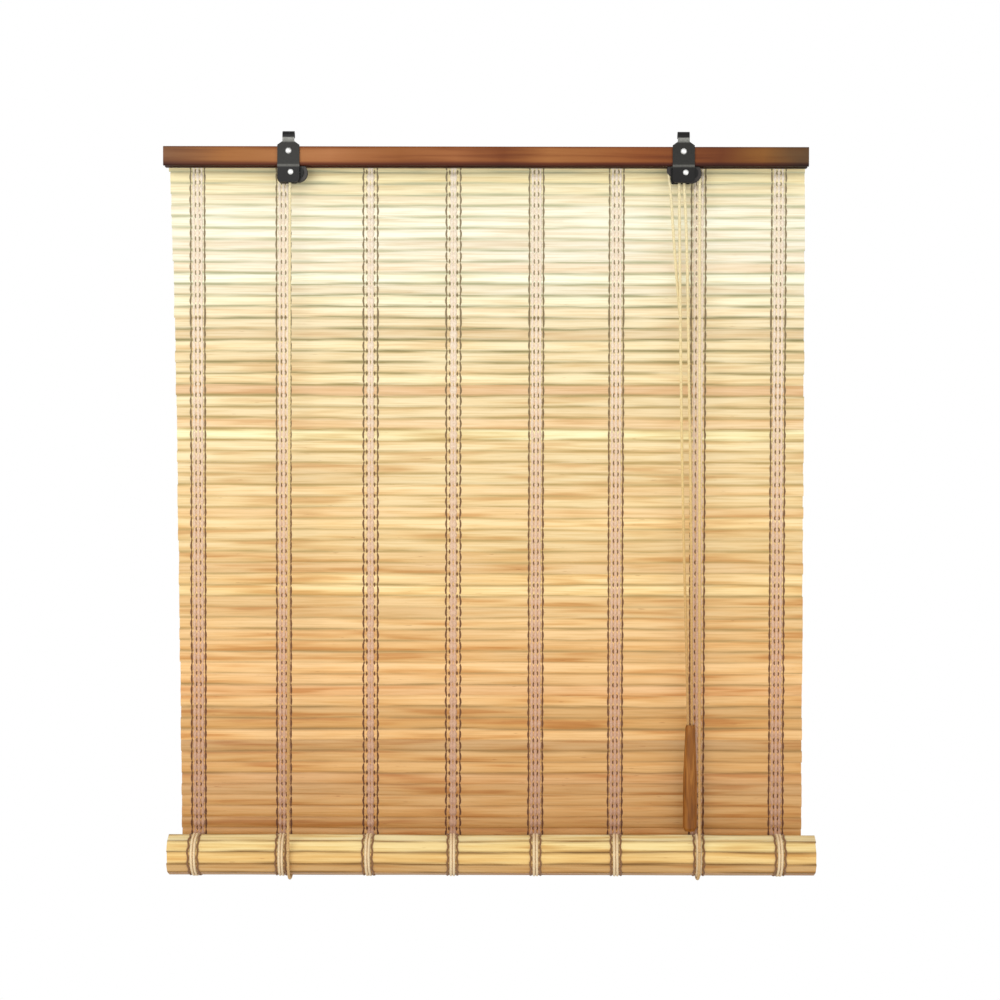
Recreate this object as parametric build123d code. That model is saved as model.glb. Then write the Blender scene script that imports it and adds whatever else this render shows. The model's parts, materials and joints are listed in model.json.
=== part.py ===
from build123d import *
import math
import os

os.makedirs("parts", exist_ok=True)

# Frame: origin midway between the two hooks, on their common axis. +Z up, -Y to the room.
# Driving sizes in mm

# Headrail, a wooden batten with a cord groove along its underside
RAIL_LENGTH = 600.0
RAIL_HEIGHT = 18.0
RAIL_DEPTH = 20.0
RAIL_EDGE_RADIUS = 1.6
RAIL_DROP = 10.0
GROOVE_CLEARANCE = 0.8

# Hook plates, black steel sheet
BRACKET_SPAN = 367.0
PLATE_WIDTH = 20.5
PLATE_THICKNESS = 1.5
PLATE_TAIL = 15.5
PLATE_CORNER_RADIUS = 4.0
SHOULDER_RISE = 4.4
SHOULDER_SLOPE = 3.4
TONGUE_WIDTH = 11.0
HOOK_RADIUS = 2.5
HOOK_LIP = 2.0
SCREW_DROP = 4.5
RIVET_DROP = 6.0
RIVET_OFFSET = 2.0

# Fasteners
SCREW_SHANK_RADIUS = 1.5
SCREW_HEAD_RADIUS = 2.9
SCREW_HEAD_HEIGHT = 1.7
SCREW_LENGTH = 13.0
RIVET_RADIUS = 1.5
RIVET_HEAD_RADIUS = 2.6
RIVET_HEAD_HEIGHT = 1.3
SPACER_RADIUS = 4.0
SPACER_LENGTH = 2.0
NAIL_RADIUS = 0.8
NAIL_HEAD_RADIUS = 2.0
NAIL_HEAD_HEIGHT = 0.6
NAIL_BITE = 8.0
STAPLE_WIRE = 1.4
STAPLE_WIDTH = 9.0
STAPLE_BITE = 6.0
STAPLE_DROP = 5.0
HOLE_CLEARANCE = 0.05

# Pulley blocks
CHEEK_THICKNESS = 1.2
CHEEK_END_RADIUS = 5.6
CHEEK_CORNER_RADIUS = 3.0
CHEEK_TOP_GAP = 0.4
GUIDE_EAR = 1.5
PULLEY_OFFSET = 8.2
PULLEY_WIDTH = 6.0
PULLEY_SIDE_GAP = 0.5
PULLEY_CORD_RADIUS = 7.5
GUIDE_CORD_RADIUS = 5.0
GUIDE_OFFSET = 8.6
RIM_RISE = 1.5
RIM_LAND = 0.5
GROOVE_FLOOR_HALF = 1.8
CORD_SEAT_GAP = 0.4
AXLE_RADIUS = 2.0
GUIDE_AXLE_RADIUS = 1.5
RUNNING_CLEARANCE = 0.05
AXLE_HEAD_RADIUS = 3.2
AXLE_HEAD_HEIGHT = 1.0
SPACER_PIN_OFFSET = 5.0
SPACER_PIN_DROP = 9.0

# Slat mat, as wide as the rail, which narrows downwards at its left side
MAT_WIDTH = RAIL_LENGTH
MAT_INSET = 12.5
INSET_CURVE = 0.45
MAT_LAP = 8.0
SLAT_COUNT = 62
SLAT_PITCH = 10.5
SLAT_WIDTH = 9.6
SLAT_THICKNESS = 2.4
SLAT_CROWN = 1.1
WEB_THICKNESS = 0.8
WEB_OVERLAP = 0.5
WEB_MARGIN = 34.0

# Warp bands, eight columns of yarn across the slats
COLUMN_SHARES = (-0.904, -0.635, -0.362, -0.102, 0.158, 0.409, 0.666, 0.917)
BAND_WIDTH = 15.0
BAND_RISE = 1.4
BAND_DIP = 0.5
BAND_BACK = 0.8

# Bottom roll, wound from the same slats, whose ends lie a little out of line
ROLL_STAGGER = 6.0
ROLL_LENGTH = MAT_WIDTH + ROLL_STAGGER
ROLL_FLAT_RADIUS = 19.6
ROUND_SHARE = 0.35
TURN_PITCH = 4.8
CORE_LEAST_RADIUS = 4.0
ROLL_BAND_WIDTH = 10.0

# Cords and the cord pull
CORD_RADIUS = 1.5
CORD_GAP = 0.4
CORD_END = 1.5
BIGHT_LEG = 6.0
BIGHT_FLAT = 1.0
PULL_LENGTH = 100.0
PULL_BASE_RADIUS = 4.6
PULL_FOOT_RADIUS = 6.6
PULL_NECK_RADIUS = 4.5
PULL_FOOT_HEIGHT = 3.0
PULL_WAIST_HEIGHT = 48.0
PULL_CROWN = 2.5
PULL_BORE_RADIUS = 3.7
PULL_BORE_DEPTH = 12.0
PULL_X_OFFSET = 9.0
PULL_CORD_SPREAD = 1.6

# Overrun of every cutting tool
CUT_OVERRUN = 2.0

# Places that follow from the sizes
rail_front = -HOOK_RADIUS
rail_back = rail_front + RAIL_DEPTH
rail_top = -RAIL_DROP
rail_bottom = rail_top - RAIL_HEIGHT
left_x = -BRACKET_SPAN / 2
right_x = BRACKET_SPAN / 2
plate_front = rail_front - PLATE_THICKNESS
screw_z = rail_top - SCREW_DROP
rivet_z = rail_bottom - RIVET_DROP

front_cheek_y = rail_front + SPACER_LENGTH
pulley_front = front_cheek_y + CHEEK_THICKNESS + PULLEY_SIDE_GAP
pulley_y = pulley_front + PULLEY_WIDTH / 2
back_cheek_y = pulley_front + PULLEY_WIDTH + PULLEY_SIDE_GAP
block_back = back_cheek_y + CHEEK_THICKNESS
cheek_top = rail_bottom - CHEEK_TOP_GAP
axle_z = cheek_top - CHEEK_END_RADIUS
cross_z = axle_z + PULLEY_CORD_RADIUS
guide_z = cross_z - GUIDE_CORD_RADIUS
cheek_bottom = rail_bottom - PLATE_TAIL
spacer_pin_z = rail_bottom - SPACER_PIN_DROP
left_pulley_x = left_x + PULLEY_OFFSET
right_pulley_x = right_x + PULLEY_OFFSET
guide_x = right_x - GUIDE_OFFSET
groove_top = axle_z + PULLEY_CORD_RADIUS + RIM_RISE + GROOVE_CLEARANCE

mat_top = rail_bottom + MAT_LAP
mat_bottom = mat_top - SLAT_COUNT * SLAT_PITCH
crest_y = rail_back + BAND_RISE
slat_back = crest_y + SLAT_THICKNESS
columns = [share * MAT_WIDTH / 2 for share in COLUMN_SHARES]

slat_side = SLAT_THICKNESS - SLAT_CROWN
half_step = math.atan(SLAT_PITCH / 2 / (ROLL_FLAT_RADIUS - slat_side))
roll_outer = ROLL_FLAT_RADIUS / math.cos(half_step) + BAND_DIP
roll_x = MAT_INSET / 2
roll_y = slat_back - ROLL_FLAT_RADIUS
roll_z = mat_bottom

bight_radius = roll_outer + CORD_GAP + CORD_RADIUS
front_cord_y = roll_y - bight_radius
back_cord_y = front_cord_y + 2 * bight_radius + BIGHT_FLAT
bight_top = roll_z + BIGHT_LEG
left_cord_x = left_pulley_x - PULLEY_CORD_RADIUS
right_cord_x = right_pulley_x + PULLEY_CORD_RADIUS
staple_z = rail_top - STAPLE_DROP

pull_x = right_x + PULL_X_OFFSET
pull_foot_z = roll_z + roll_outer + CORD_GAP
pull_top_z = pull_foot_z + PULL_LENGTH
pull_bore_z = pull_top_z - PULL_BORE_DEPTH


# Helpers: a bar along Y, a through hole for it, a domed head, a tube along a path, a block
def bar_y(radius, x, y_start, y_end, z):
    bar = Cylinder(radius, y_end - y_start, align=(Align.CENTER, Align.CENTER, Align.MIN))
    return Pos(x, y_start, z) * Rot(-90, 0, 0) * bar


def hole_y(radius, x, y_start, y_end, z):
    return bar_y(radius + HOLE_CLEARANCE, x, y_start - CUT_OVERRUN, y_end + CUT_OVERRUN, z)


def domed_head(radius, height, x, y_seat, z):
    dome_radius = (radius**2 + height**2) / (2 * height)
    ball = Pos(x, y_seat - height + dome_radius, z) * Sphere(dome_radius)
    return ball & bar_y(radius, x, y_seat - height, y_seat, z)


def tube(path, radius):
    section = Plane(origin=path @ 0, z_dir=path % 0) * Circle(radius)
    return sweep(section, path=path)


def block_between(low, high):
    size = [b - a for a, b in zip(low, high)]
    middle = [(a + b) / 2 for a, b in zip(low, high)]
    return Pos(*middle) * Box(*size)


# Headrail with its groove and the holes for screws, nails and staples
def headrail():
    low = (-RAIL_LENGTH / 2, rail_front, rail_bottom)
    high = (RAIL_LENGTH / 2, rail_back, rail_top)
    rail = block_between(low, high)
    rail = fillet(rail.edges().filter_by(Axis.X), RAIL_EDGE_RADIUS)
    half_groove = PULLEY_WIDTH / 2 + GROOVE_CLEARANCE
    groove_end = RAIL_LENGTH / 2 + CUT_OVERRUN
    groove_low = (-groove_end, pulley_y - half_groove, rail_bottom - CUT_OVERRUN)
    groove_high = (groove_end, pulley_y + half_groove, groove_top)
    rail -= block_between(groove_low, groove_high)
    screw_hole = SCREW_SHANK_RADIUS + HOLE_CLEARANCE
    for x in (left_x, right_x):
        rail -= bar_y(screw_hole, x, rail_front - CUT_OVERRUN, rail_front + SCREW_LENGTH, screw_z)
    nail_hole = NAIL_RADIUS + HOLE_CLEARANCE
    for x in nail_places():
        rail -= bar_y(nail_hole, x, rail_back - NAIL_BITE, rail_back + CUT_OVERRUN, nail_z())
    for x in (left_cord_x, right_cord_x):
        rail -= staple(x, HOLE_CLEARANCE)
    return rail


def nail_places():
    return [(a + b) / 2 for a, b in zip(columns[::2], columns[1::2])]


def nail_z():
    return mat_top - SLAT_PITCH / 2


# Flat-wire staple at the back of the rail, where a cord's back run is tied
def staple(x, clearance=0):
    half = STAPLE_WIDTH / 2
    crown = back_cord_y + STAPLE_WIRE / 2
    rise = STAPLE_WIRE / 2 + clearance
    foot = rail_back - STAPLE_BITE - clearance
    low = (x - half - clearance, foot, staple_z - rise)
    high = (x + half + clearance, crown + clearance, staple_z + rise)
    inside = half - STAPLE_WIRE - clearance
    bow_low = (x - inside, foot - CUT_OVERRUN, staple_z - rise)
    bow_high = (x + inside, crown - STAPLE_WIRE - clearance, staple_z + rise)
    return block_between(low, high) - block_between(bow_low, bow_high)


def cord_staples():
    return Compound(children=[staple(x) for x in (left_cord_x, right_cord_x)])


# Hook plate: tail, sloped shoulders, tongue bent back into a hook
def hook_plate(x):
    half_plate = PLATE_WIDTH / 2
    half_tongue = TONGUE_WIDTH / 2
    shoulder_top = rail_top + SHOULDER_RISE
    shoulder_low = shoulder_top - SHOULDER_SLOPE
    outline = [
        (-half_tongue, 0),
        (half_tongue, 0),
        (half_tongue, shoulder_top),
        (half_plate, shoulder_low),
        (half_plate, cheek_bottom),
        (-half_plate, cheek_bottom),
        (-half_plate, shoulder_low),
        (-half_tongue, shoulder_top),
    ]
    face = make_face(Polyline(*outline, close=True))
    corners = face.vertices().sort_by(Axis.Y)[:2]
    face = fillet(corners, PLATE_CORNER_RADIUS)
    plate = extrude(Plane.XZ * face, amount=PLATE_THICKNESS)
    plate = Pos(x, rail_front, 0) * plate
    outer = HOOK_RADIUS + PLATE_THICKNESS
    ring = Cylinder(outer, TONGUE_WIDTH) - Cylinder(HOOK_RADIUS, TONGUE_WIDTH + CUT_OVERRUN)
    ring = Pos(x, 0, 0) * Rot(0, 90, 0) * ring
    upper_low = (x - half_tongue, -outer, 0)
    upper_high = (x + half_tongue, outer, outer)
    hook = ring & block_between(upper_low, upper_high)
    lip = block_between((x - half_tongue, HOOK_RADIUS, -HOOK_LIP), (x + half_tongue, outer, 0))
    plate = plate + hook + lip
    plate -= hole_y(SCREW_SHANK_RADIUS, x, plate_front, rail_front, screw_z)
    plate -= hole_y(RIVET_RADIUS, x + RIVET_OFFSET, plate_front, rail_front, rivet_z)
    return plate


# Plate screws, rivets and spacer washers, one of each per plate
def plate_screws():
    screws = []
    for x in (left_x, right_x):
        shank = bar_y(SCREW_SHANK_RADIUS, x, plate_front, plate_front + SCREW_LENGTH, screw_z)
        screws.append(shank + domed_head(SCREW_HEAD_RADIUS, SCREW_HEAD_HEIGHT, x, plate_front, screw_z))
    return Compound(children=screws)


def plate_rivets():
    rivets = []
    for x in (left_x + RIVET_OFFSET, right_x + RIVET_OFFSET):
        shank = bar_y(RIVET_RADIUS, x, plate_front, front_cheek_y + CHEEK_THICKNESS, rivet_z)
        rivets.append(shank + domed_head(RIVET_HEAD_RADIUS, RIVET_HEAD_HEIGHT, x, plate_front, rivet_z))
    return Compound(children=rivets)


def spacer_washers():
    washers = []
    for x in (left_x + RIVET_OFFSET, right_x + RIVET_OFFSET):
        washer = bar_y(SPACER_RADIUS, x, rail_front, front_cheek_y, rivet_z)
        washers.append(washer - hole_y(RIVET_RADIUS, x, rail_front, front_cheek_y, rivet_z))
    return Compound(children=washers)


# Cheek of a pulley block: a plate with one end rounded about the axle
def cheek(x, y_front, ear, holes):
    left = x - PLATE_WIDTH / 2 - ear
    end_x = x + PULLEY_OFFSET
    y_back = y_front + CHEEK_THICKNESS
    body = block_between((left, y_front, cheek_bottom), (end_x, y_back, cheek_top))
    body = fillet(body.edges().filter_by(Axis.Y).sort_by(Axis.Z)[:2], CHEEK_CORNER_RADIUS)
    body += bar_y(CHEEK_END_RADIUS, end_x, y_front, y_back, axle_z)
    for hole_x, hole_z, radius in holes:
        body -= hole_y(radius, hole_x, y_front, y_back, hole_z)
    return body


# Grooved wheel turned about Y
def pulley(x, z, cord_radius, bore_radius):
    floor = cord_radius - CORD_RADIUS - CORD_SEAT_GAP
    rim = cord_radius + RIM_RISE
    half = PULLEY_WIDTH / 2
    outline = [
        (bore_radius, -half),
        (rim, -half),
        (rim, -half + RIM_LAND),
        (floor, -GROOVE_FLOOR_HALF),
        (floor, GROOVE_FLOOR_HALF),
        (rim, half - RIM_LAND),
        (rim, half),
        (bore_radius, half),
    ]
    wheel = revolve(make_face(Polyline(*outline, close=True)), Axis.Y)
    return Pos(x, pulley_y, z) * wheel


# Pins with a head at the back of the block
def block_pin(x, z, radius):
    pin = bar_y(radius, x, front_cheek_y, block_back, z)
    return pin + bar_y(AXLE_HEAD_RADIUS, x, block_back, block_back + AXLE_HEAD_HEIGHT, z)


def pulley_axles():
    return Compound(children=[block_pin(x, axle_z, AXLE_RADIUS) for x in (left_pulley_x, right_pulley_x)])


# Section of one slat: flat back, crowned front, drawn about the middle of its back
def slat_section():
    half = SLAT_WIDTH / 2
    flat = Polyline((slat_side, -half), (0, -half), (0, half), (slat_side, half))
    crown = ThreePointArc((slat_side, half), (SLAT_THICKNESS, 0), (slat_side, -half))
    return make_face(flat + crown)


# Left end of a slat: the mat steps in down that side, fast at first
def slat_left(number):
    share = (number + 1 / 2) / SLAT_COUNT
    return -MAT_WIDTH / 2 + MAT_INSET * share**INSET_CURVE


# Hanging mat: slats joined by a thin web along both margins, open slits between
def slat_mat():
    section = Plane.YZ * Rot(0, 0, 180) * slat_section()
    right = MAT_WIDTH / 2
    slats = []
    for number in range(SLAT_COUNT):
        left = slat_left(number)
        slat = extrude(section, amount=right - left)
        slats.append(Pos(left, slat_back, mat_top - (number + 1 / 2) * SLAT_PITCH) * slat)
    webs = []
    web_front = slat_back - WEB_THICKNESS * 3 / 2
    web_back = slat_back - WEB_THICKNESS / 2
    for left, end in ((MAT_INSET - right, WEB_MARGIN - right), (right - WEB_MARGIN, right)):
        low = (left, web_front, mat_bottom + SLAT_PITCH / 2)
        high = (end, web_back, mat_top - SLAT_PITCH / 2)
        webs.append(block_between(low, high))
    mat = webs[0].fuse(webs[1], *slats)
    for x in nail_places():
        mat -= hole_y(NAIL_RADIUS, x, crest_y, slat_back, nail_z())
    return mat


def mat_nails():
    nails = []
    for x in nail_places():
        shank = bar_y(NAIL_RADIUS, x, rail_back - NAIL_BITE, slat_back, nail_z())
        nails.append(shank + bar_y(NAIL_HEAD_RADIUS, x, slat_back, slat_back + NAIL_HEAD_HEIGHT, nail_z()))
    return Compound(children=nails)


# Warp band of one column: a yarn strip that swells over each slat, and its flat back run
def warp_band(x):
    points = [(crest_y, mat_top), (crest_y - BAND_DIP, mat_top)]
    for number in range(SLAT_COUNT):
        middle = mat_top - (number + 1 / 2) * SLAT_PITCH
        points.append((crest_y - BAND_RISE, middle))
        points.append((crest_y - BAND_DIP, middle - SLAT_PITCH / 2))
    points.append((crest_y, mat_bottom))
    face = Plane.YZ * make_face(Polyline(*points, close=True))
    front = Pos(x, 0, 0) * extrude(face, amount=BAND_WIDTH / 2, both=True)
    half = BAND_WIDTH / 2
    back = block_between((x - half, slat_back, mat_bottom), (x + half, slat_back + BAND_BACK, mat_top))
    return Compound(children=[front, back])


# Radius of the winding: round for most of each turn, then stepping in under the next
def winding_radius(angle):
    turns = angle / (2 * math.pi)
    whole = math.floor(turns)
    step = max(0, turns - whole - ROUND_SHARE) / (1 - ROUND_SHARE)
    return ROLL_FLAT_RADIUS - TURN_PITCH * (whole + step)


# Angle and radius of each wound slat, from the back of the roll down, forward and round
def roll_slats():
    places = []
    angle = half_step
    while True:
        radius = winding_radius(angle)
        if radius - SLAT_THICKNESS < CORE_LEAST_RADIUS:
            return places
        places.append((angle, radius))
        angle += 2 * math.atan(SLAT_PITCH / 2 / (radius - slat_side))


def roll_point(angle, radius, shift=0):
    outward = Vector(math.cos(angle), -math.sin(angle))
    along = Vector(-math.sin(angle), -math.cos(angle))
    point = Vector(roll_y, roll_z) + outward * radius + along * shift
    return (point.X, point.Y)


# Wound turns of the mat, its back outwards: slats and the web between neighbours, in one piece
def rolled_turns():
    places = roll_slats()
    section = slat_section()
    outline = None
    for angle, radius in places:
        face = Pos(*roll_point(angle, radius)) * Rot(0, 0, 180 - math.degrees(angle)) * section
        outline = face if outline is None else outline + face
    reach = SLAT_WIDTH / 2 - WEB_OVERLAP
    web_out = WEB_THICKNESS / 2
    web_in = web_out + WEB_THICKNESS
    for (angle, radius), (after, after_radius) in zip(places, places[1:]):
        corners = [
            roll_point(angle, radius - web_in, reach),
            roll_point(angle, radius - web_out, reach),
            roll_point(after, after_radius - web_out, -reach),
            roll_point(after, after_radius - web_in, -reach),
        ]
        outline += make_face(Polyline(*corners, close=True))
    return Pos(roll_x, 0, 0) * extrude(Plane.YZ * outline, amount=ROLL_LENGTH / 2, both=True)


# Warp bands over the outer turn of the roll, one per column
def roll_bands():
    last_angle = 2 * math.pi - 3 * half_step
    outer_turn = [place for place in roll_slats() if place[0] < last_angle]
    inner, outer = [], []
    corner_radius = outer_turn[0][1]
    for angle, radius in outer_turn:
        half = math.atan(SLAT_PITCH / 2 / (radius - slat_side))
        corner = corner_radius / math.cos(half)
        inner.append(roll_point(angle - half, corner))
        outer.append(roll_point(angle - half, corner + BAND_DIP))
        outer.append(roll_point(angle, radius + BAND_BACK))
        corner_radius = radius
    corner = radius / math.cos(half)
    inner.append(roll_point(angle + half, corner))
    outer.append(roll_point(angle + half, corner + BAND_DIP))
    face = Plane.YZ * make_face(Polyline(*inner, *outer[::-1], close=True))
    strip = extrude(face, amount=ROLL_BAND_WIDTH / 2, both=True)
    return Compound(children=[Pos(x, 0, 0) * strip for x in columns])


# Core rod, which the innermost slat lies against
def roll_core():
    innermost_radius = roll_slats()[-1][1]
    rod = Cylinder(innermost_radius - SLAT_THICKNESS, ROLL_LENGTH)
    return Pos(roll_x, roll_y, roll_z) * Rot(0, 90, 0) * rod


# Cord runs: straight where a weight pulls them tight, arcs round the wheels and the roll
def straight_cord(start, end):
    return tube(Line(start, end), CORD_RADIUS)


def cord_bight(x):
    floor_z = roll_z - bight_radius
    points = [
        (x, front_cord_y, bight_top),
        (x, front_cord_y, floor_z),
        (x, back_cord_y, floor_z),
        (x, back_cord_y, bight_top),
    ]
    return tube(FilletPolyline(*points, radius=bight_radius), CORD_RADIUS)


def front_cord(x):
    return straight_cord((x, pulley_y, axle_z - CORD_END - CORD_GAP), (x, front_cord_y, bight_top + CORD_GAP))


def back_cord(x):
    top = staple_z - STAPLE_WIRE / 2 - CORD_GAP
    return straight_cord((x, back_cord_y, top), (x, back_cord_y, bight_top + CORD_GAP))


def cross_cord():
    points = [
        (left_cord_x, pulley_y, axle_z - CORD_END),
        (left_cord_x, pulley_y, cross_z),
        (guide_x + GUIDE_CORD_RADIUS, pulley_y, cross_z),
        (guide_x + GUIDE_CORD_RADIUS, pulley_y, guide_z - CORD_END),
    ]
    return tube(FilletPolyline(*points, radius=(PULLEY_CORD_RADIUS, GUIDE_CORD_RADIUS)), CORD_RADIUS)


def right_cord_turn():
    start = (right_cord_x, pulley_y, axle_z)
    top = (right_pulley_x, pulley_y, cross_z)
    end = (right_pulley_x - PULLEY_CORD_RADIUS, pulley_y, axle_z)
    arc = ThreePointArc(start, top, end)
    return tube(arc, CORD_RADIUS)


def pull_cord(start_x, start_z, side):
    start = (start_x, pulley_y, start_z - CORD_END - CORD_GAP)
    return straight_cord(start, (pull_x + side * PULL_CORD_SPREAD, pulley_y, pull_bore_z + CORD_GAP))


# Turned wooden cord pull with a bore for both cords
def cord_pull():
    bore_z = PULL_LENGTH - PULL_BORE_DEPTH
    outline = [
        (0, 0),
        (PULL_BASE_RADIUS, 0),
        (PULL_FOOT_RADIUS, PULL_FOOT_HEIGHT),
        (PULL_FOOT_RADIUS, PULL_WAIST_HEIGHT),
        (PULL_NECK_RADIUS, PULL_LENGTH - PULL_CROWN),
        (PULL_BORE_RADIUS, PULL_LENGTH),
        (PULL_BORE_RADIUS, bore_z),
        (0, bore_z),
    ]
    turned = revolve(Plane.XZ * make_face(Polyline(*outline, close=True)), Axis.Z)
    return Pos(pull_x, pulley_y, pull_foot_z) * turned


left_front_holes = [
    (left_pulley_x, axle_z, AXLE_RADIUS),
    (left_x - SPACER_PIN_OFFSET, spacer_pin_z, GUIDE_AXLE_RADIUS),
    (left_x + RIVET_OFFSET, rivet_z, RIVET_RADIUS),
]
right_front_holes = [
    (right_pulley_x, axle_z, AXLE_RADIUS),
    (guide_x, guide_z, GUIDE_AXLE_RADIUS),
    (right_x + RIVET_OFFSET, rivet_z, RIVET_RADIUS),
]

nodes = {
    "headrail": headrail(),
    "left_hook_plate": hook_plate(left_x),
    "right_hook_plate": hook_plate(right_x),
    "plate_screws": plate_screws(),
    "plate_rivets": plate_rivets(),
    "spacer_washers": spacer_washers(),
    "left_front_cheek": cheek(left_x, front_cheek_y, 0, left_front_holes),
    "left_back_cheek": cheek(left_x, back_cheek_y, 0, left_front_holes[:2]),
    "right_front_cheek": cheek(right_x, front_cheek_y, GUIDE_EAR, right_front_holes),
    "right_back_cheek": cheek(right_x, back_cheek_y, GUIDE_EAR, right_front_holes[:2]),
    "left_pulley": pulley(left_pulley_x, axle_z, PULLEY_CORD_RADIUS, AXLE_RADIUS + RUNNING_CLEARANCE),
    "right_pulley": pulley(right_pulley_x, axle_z, PULLEY_CORD_RADIUS, AXLE_RADIUS + RUNNING_CLEARANCE),
    "guide_roller": pulley(guide_x, guide_z, GUIDE_CORD_RADIUS, GUIDE_AXLE_RADIUS + RUNNING_CLEARANCE),
    "pulley_axles": pulley_axles(),
    "guide_axle": block_pin(guide_x, guide_z, GUIDE_AXLE_RADIUS),
    "left_spacer_pin": block_pin(left_x - SPACER_PIN_OFFSET, spacer_pin_z, GUIDE_AXLE_RADIUS),
    "slat_mat": slat_mat(),
    "mat_nails": mat_nails(),
    "rolled_turns": rolled_turns(),
    "roll_warp_bands": roll_bands(),
    "roll_core": roll_core(),
    "cord_staples": cord_staples(),
    "cross_cord": cross_cord(),
    "right_cord_turn": right_cord_turn(),
    "left_front_cord": front_cord(left_cord_x),
    "right_front_cord": front_cord(right_cord_x),
    "left_back_cord": back_cord(left_cord_x),
    "right_back_cord": back_cord(right_cord_x),
    "left_cord_bight": cord_bight(left_cord_x),
    "right_cord_bight": cord_bight(right_cord_x),
    "left_pull_cord": pull_cord(guide_x + GUIDE_CORD_RADIUS, guide_z, -1),
    "right_pull_cord": pull_cord(right_pulley_x - PULLEY_CORD_RADIUS, axle_z, 1),
    "cord_pull": cord_pull(),
}
for number, column in enumerate(columns, 1):
    nodes[f"warp_band_{number}"] = warp_band(column)

for name, shape in nodes.items():
    export_step(shape, f"parts/{name}.step")

print("roll axis y, z", round(roll_y, 2), round(roll_z, 2), "outer radius", round(roll_outer, 2))
print("axle z", axle_z, "guide", guide_x, guide_z, "pulley y", pulley_y, "cross z", cross_z)
print("slats in the roll", len(roll_slats()), "bight radius", bight_radius)
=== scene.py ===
import json
import math
import random

import bmesh
import bpy
from bpy.props import FloatProperty, FloatVectorProperty, IntProperty, PointerProperty
from mathutils import Matrix, Vector


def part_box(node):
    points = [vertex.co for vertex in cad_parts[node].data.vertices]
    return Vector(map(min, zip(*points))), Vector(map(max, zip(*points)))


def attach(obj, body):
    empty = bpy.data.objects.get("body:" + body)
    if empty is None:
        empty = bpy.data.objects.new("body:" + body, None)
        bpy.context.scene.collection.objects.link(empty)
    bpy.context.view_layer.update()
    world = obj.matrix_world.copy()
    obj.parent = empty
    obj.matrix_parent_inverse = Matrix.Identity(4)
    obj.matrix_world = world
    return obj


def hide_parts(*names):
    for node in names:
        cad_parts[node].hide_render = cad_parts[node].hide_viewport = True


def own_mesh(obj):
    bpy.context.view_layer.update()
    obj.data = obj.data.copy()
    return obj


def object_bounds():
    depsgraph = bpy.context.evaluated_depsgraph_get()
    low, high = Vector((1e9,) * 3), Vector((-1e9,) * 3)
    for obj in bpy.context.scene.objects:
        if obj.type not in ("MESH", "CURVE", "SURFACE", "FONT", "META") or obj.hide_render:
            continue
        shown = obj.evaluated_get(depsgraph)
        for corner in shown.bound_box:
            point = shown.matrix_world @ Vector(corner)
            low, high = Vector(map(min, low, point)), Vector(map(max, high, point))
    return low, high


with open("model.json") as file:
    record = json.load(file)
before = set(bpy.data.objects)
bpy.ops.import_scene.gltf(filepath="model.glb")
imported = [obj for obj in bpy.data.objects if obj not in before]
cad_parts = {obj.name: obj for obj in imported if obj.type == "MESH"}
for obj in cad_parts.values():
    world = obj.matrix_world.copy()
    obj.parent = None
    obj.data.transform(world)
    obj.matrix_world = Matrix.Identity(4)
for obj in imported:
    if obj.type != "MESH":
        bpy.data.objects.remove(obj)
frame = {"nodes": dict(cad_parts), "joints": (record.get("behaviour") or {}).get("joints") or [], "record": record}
cad_low, cad_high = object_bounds()

bl_info = {
    "name": "Bamboo roller blind",
    "version": (1, 0, 0),
    "blender": (4, 5, 0),
    "location": "3D View > Sidebar > Blind",
    "description": "Dresses the frame of a bamboo roller blind with slats, yarn, cords, wood and steel",
    "category": "Object",
}

# Places read from the frame, in metres
rail_low, rail_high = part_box("headrail")
mat_low, mat_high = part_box("slat_mat")
roll_low, roll_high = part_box("rolled_turns")
band_boxes = [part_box(f"warp_band_{number}") for number in range(1, 9)]
columns = [(low.x + high.x) / 2 for low, high in band_boxes]
LIFT = frame["joints"][0]["range_m"][1]

# Hanging mat and winding of the bottom roll, the same sizes as in the part's source
MAT_LEFT = -0.3
MAT_INSET = 0.0125
INSET_CURVE = 0.45
SLAT_PITCH = 0.0105
SLAT_SIDE = 0.0013
SLAT_CUTS, MAT_CROWN_CUTS, ROLL_CROWN_CUTS = 36, 5, 4
ROLL_FLAT_RADIUS = 0.0196
ROUND_SHARE = 0.35
TURN_PITCH = 0.0048
CORE_LEAST_RADIUS = 0.004
roll_y = mat_high.y - ROLL_FLAT_RADIUS
roll_z = mat_low.z

# Warp yarns: distances from a column's middle, and how far they lie before or behind the mat's faces
NARROW_COLUMNS = (3, 4)
NARROW_PALE_OFFSET = 0.0014
NARROW_PALE_SHARE = 1.25
NARROW_INNER_OFFSET = 0.0036
WIDE_INNER_OFFSET = 0.0018
PALE_PINCH, PALE_SWELL = 0.2, 1.6
PALE_RISE, PALE_DIP = 0.0002, 0.0016
EDGE_RISE, EDGE_DIP = 0.0009, 0.0023
INNER_DIP = 0.0012
YARN_STRAY = 0.0002
BACK_PALE_OFFSET, BACK_PALE_RADIUS = 0.0015, 0.0012
BACK_PALE_RISE, BACK_PALE_DIP = 0.0002, 0.0012
BACK_DARK_OFFSET, BACK_DARK_RADIUS = 0.0038, 0.0007
BACK_DARK_RISE, BACK_DARK_DIP = 0.0004, 0.0008
BACK_DARK_WAVE = 0.0003
YARN_STEPS = 4

# Yarns round the roll: distance from the column's middle, radius and material
PALE, DARK = 0, 1
ROLL_YARNS = ((-0.0036, 0.0009, DARK), (-0.0014, 0.0013, PALE),
              (0.0014, 0.0013, PALE), (0.0036, 0.0009, DARK))
ROLL_YARN_FLARE = 0.0018
ROLL_YARN_RISE = 0.0008
ROLL_YARN_DRIFT = 0.0012

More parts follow.
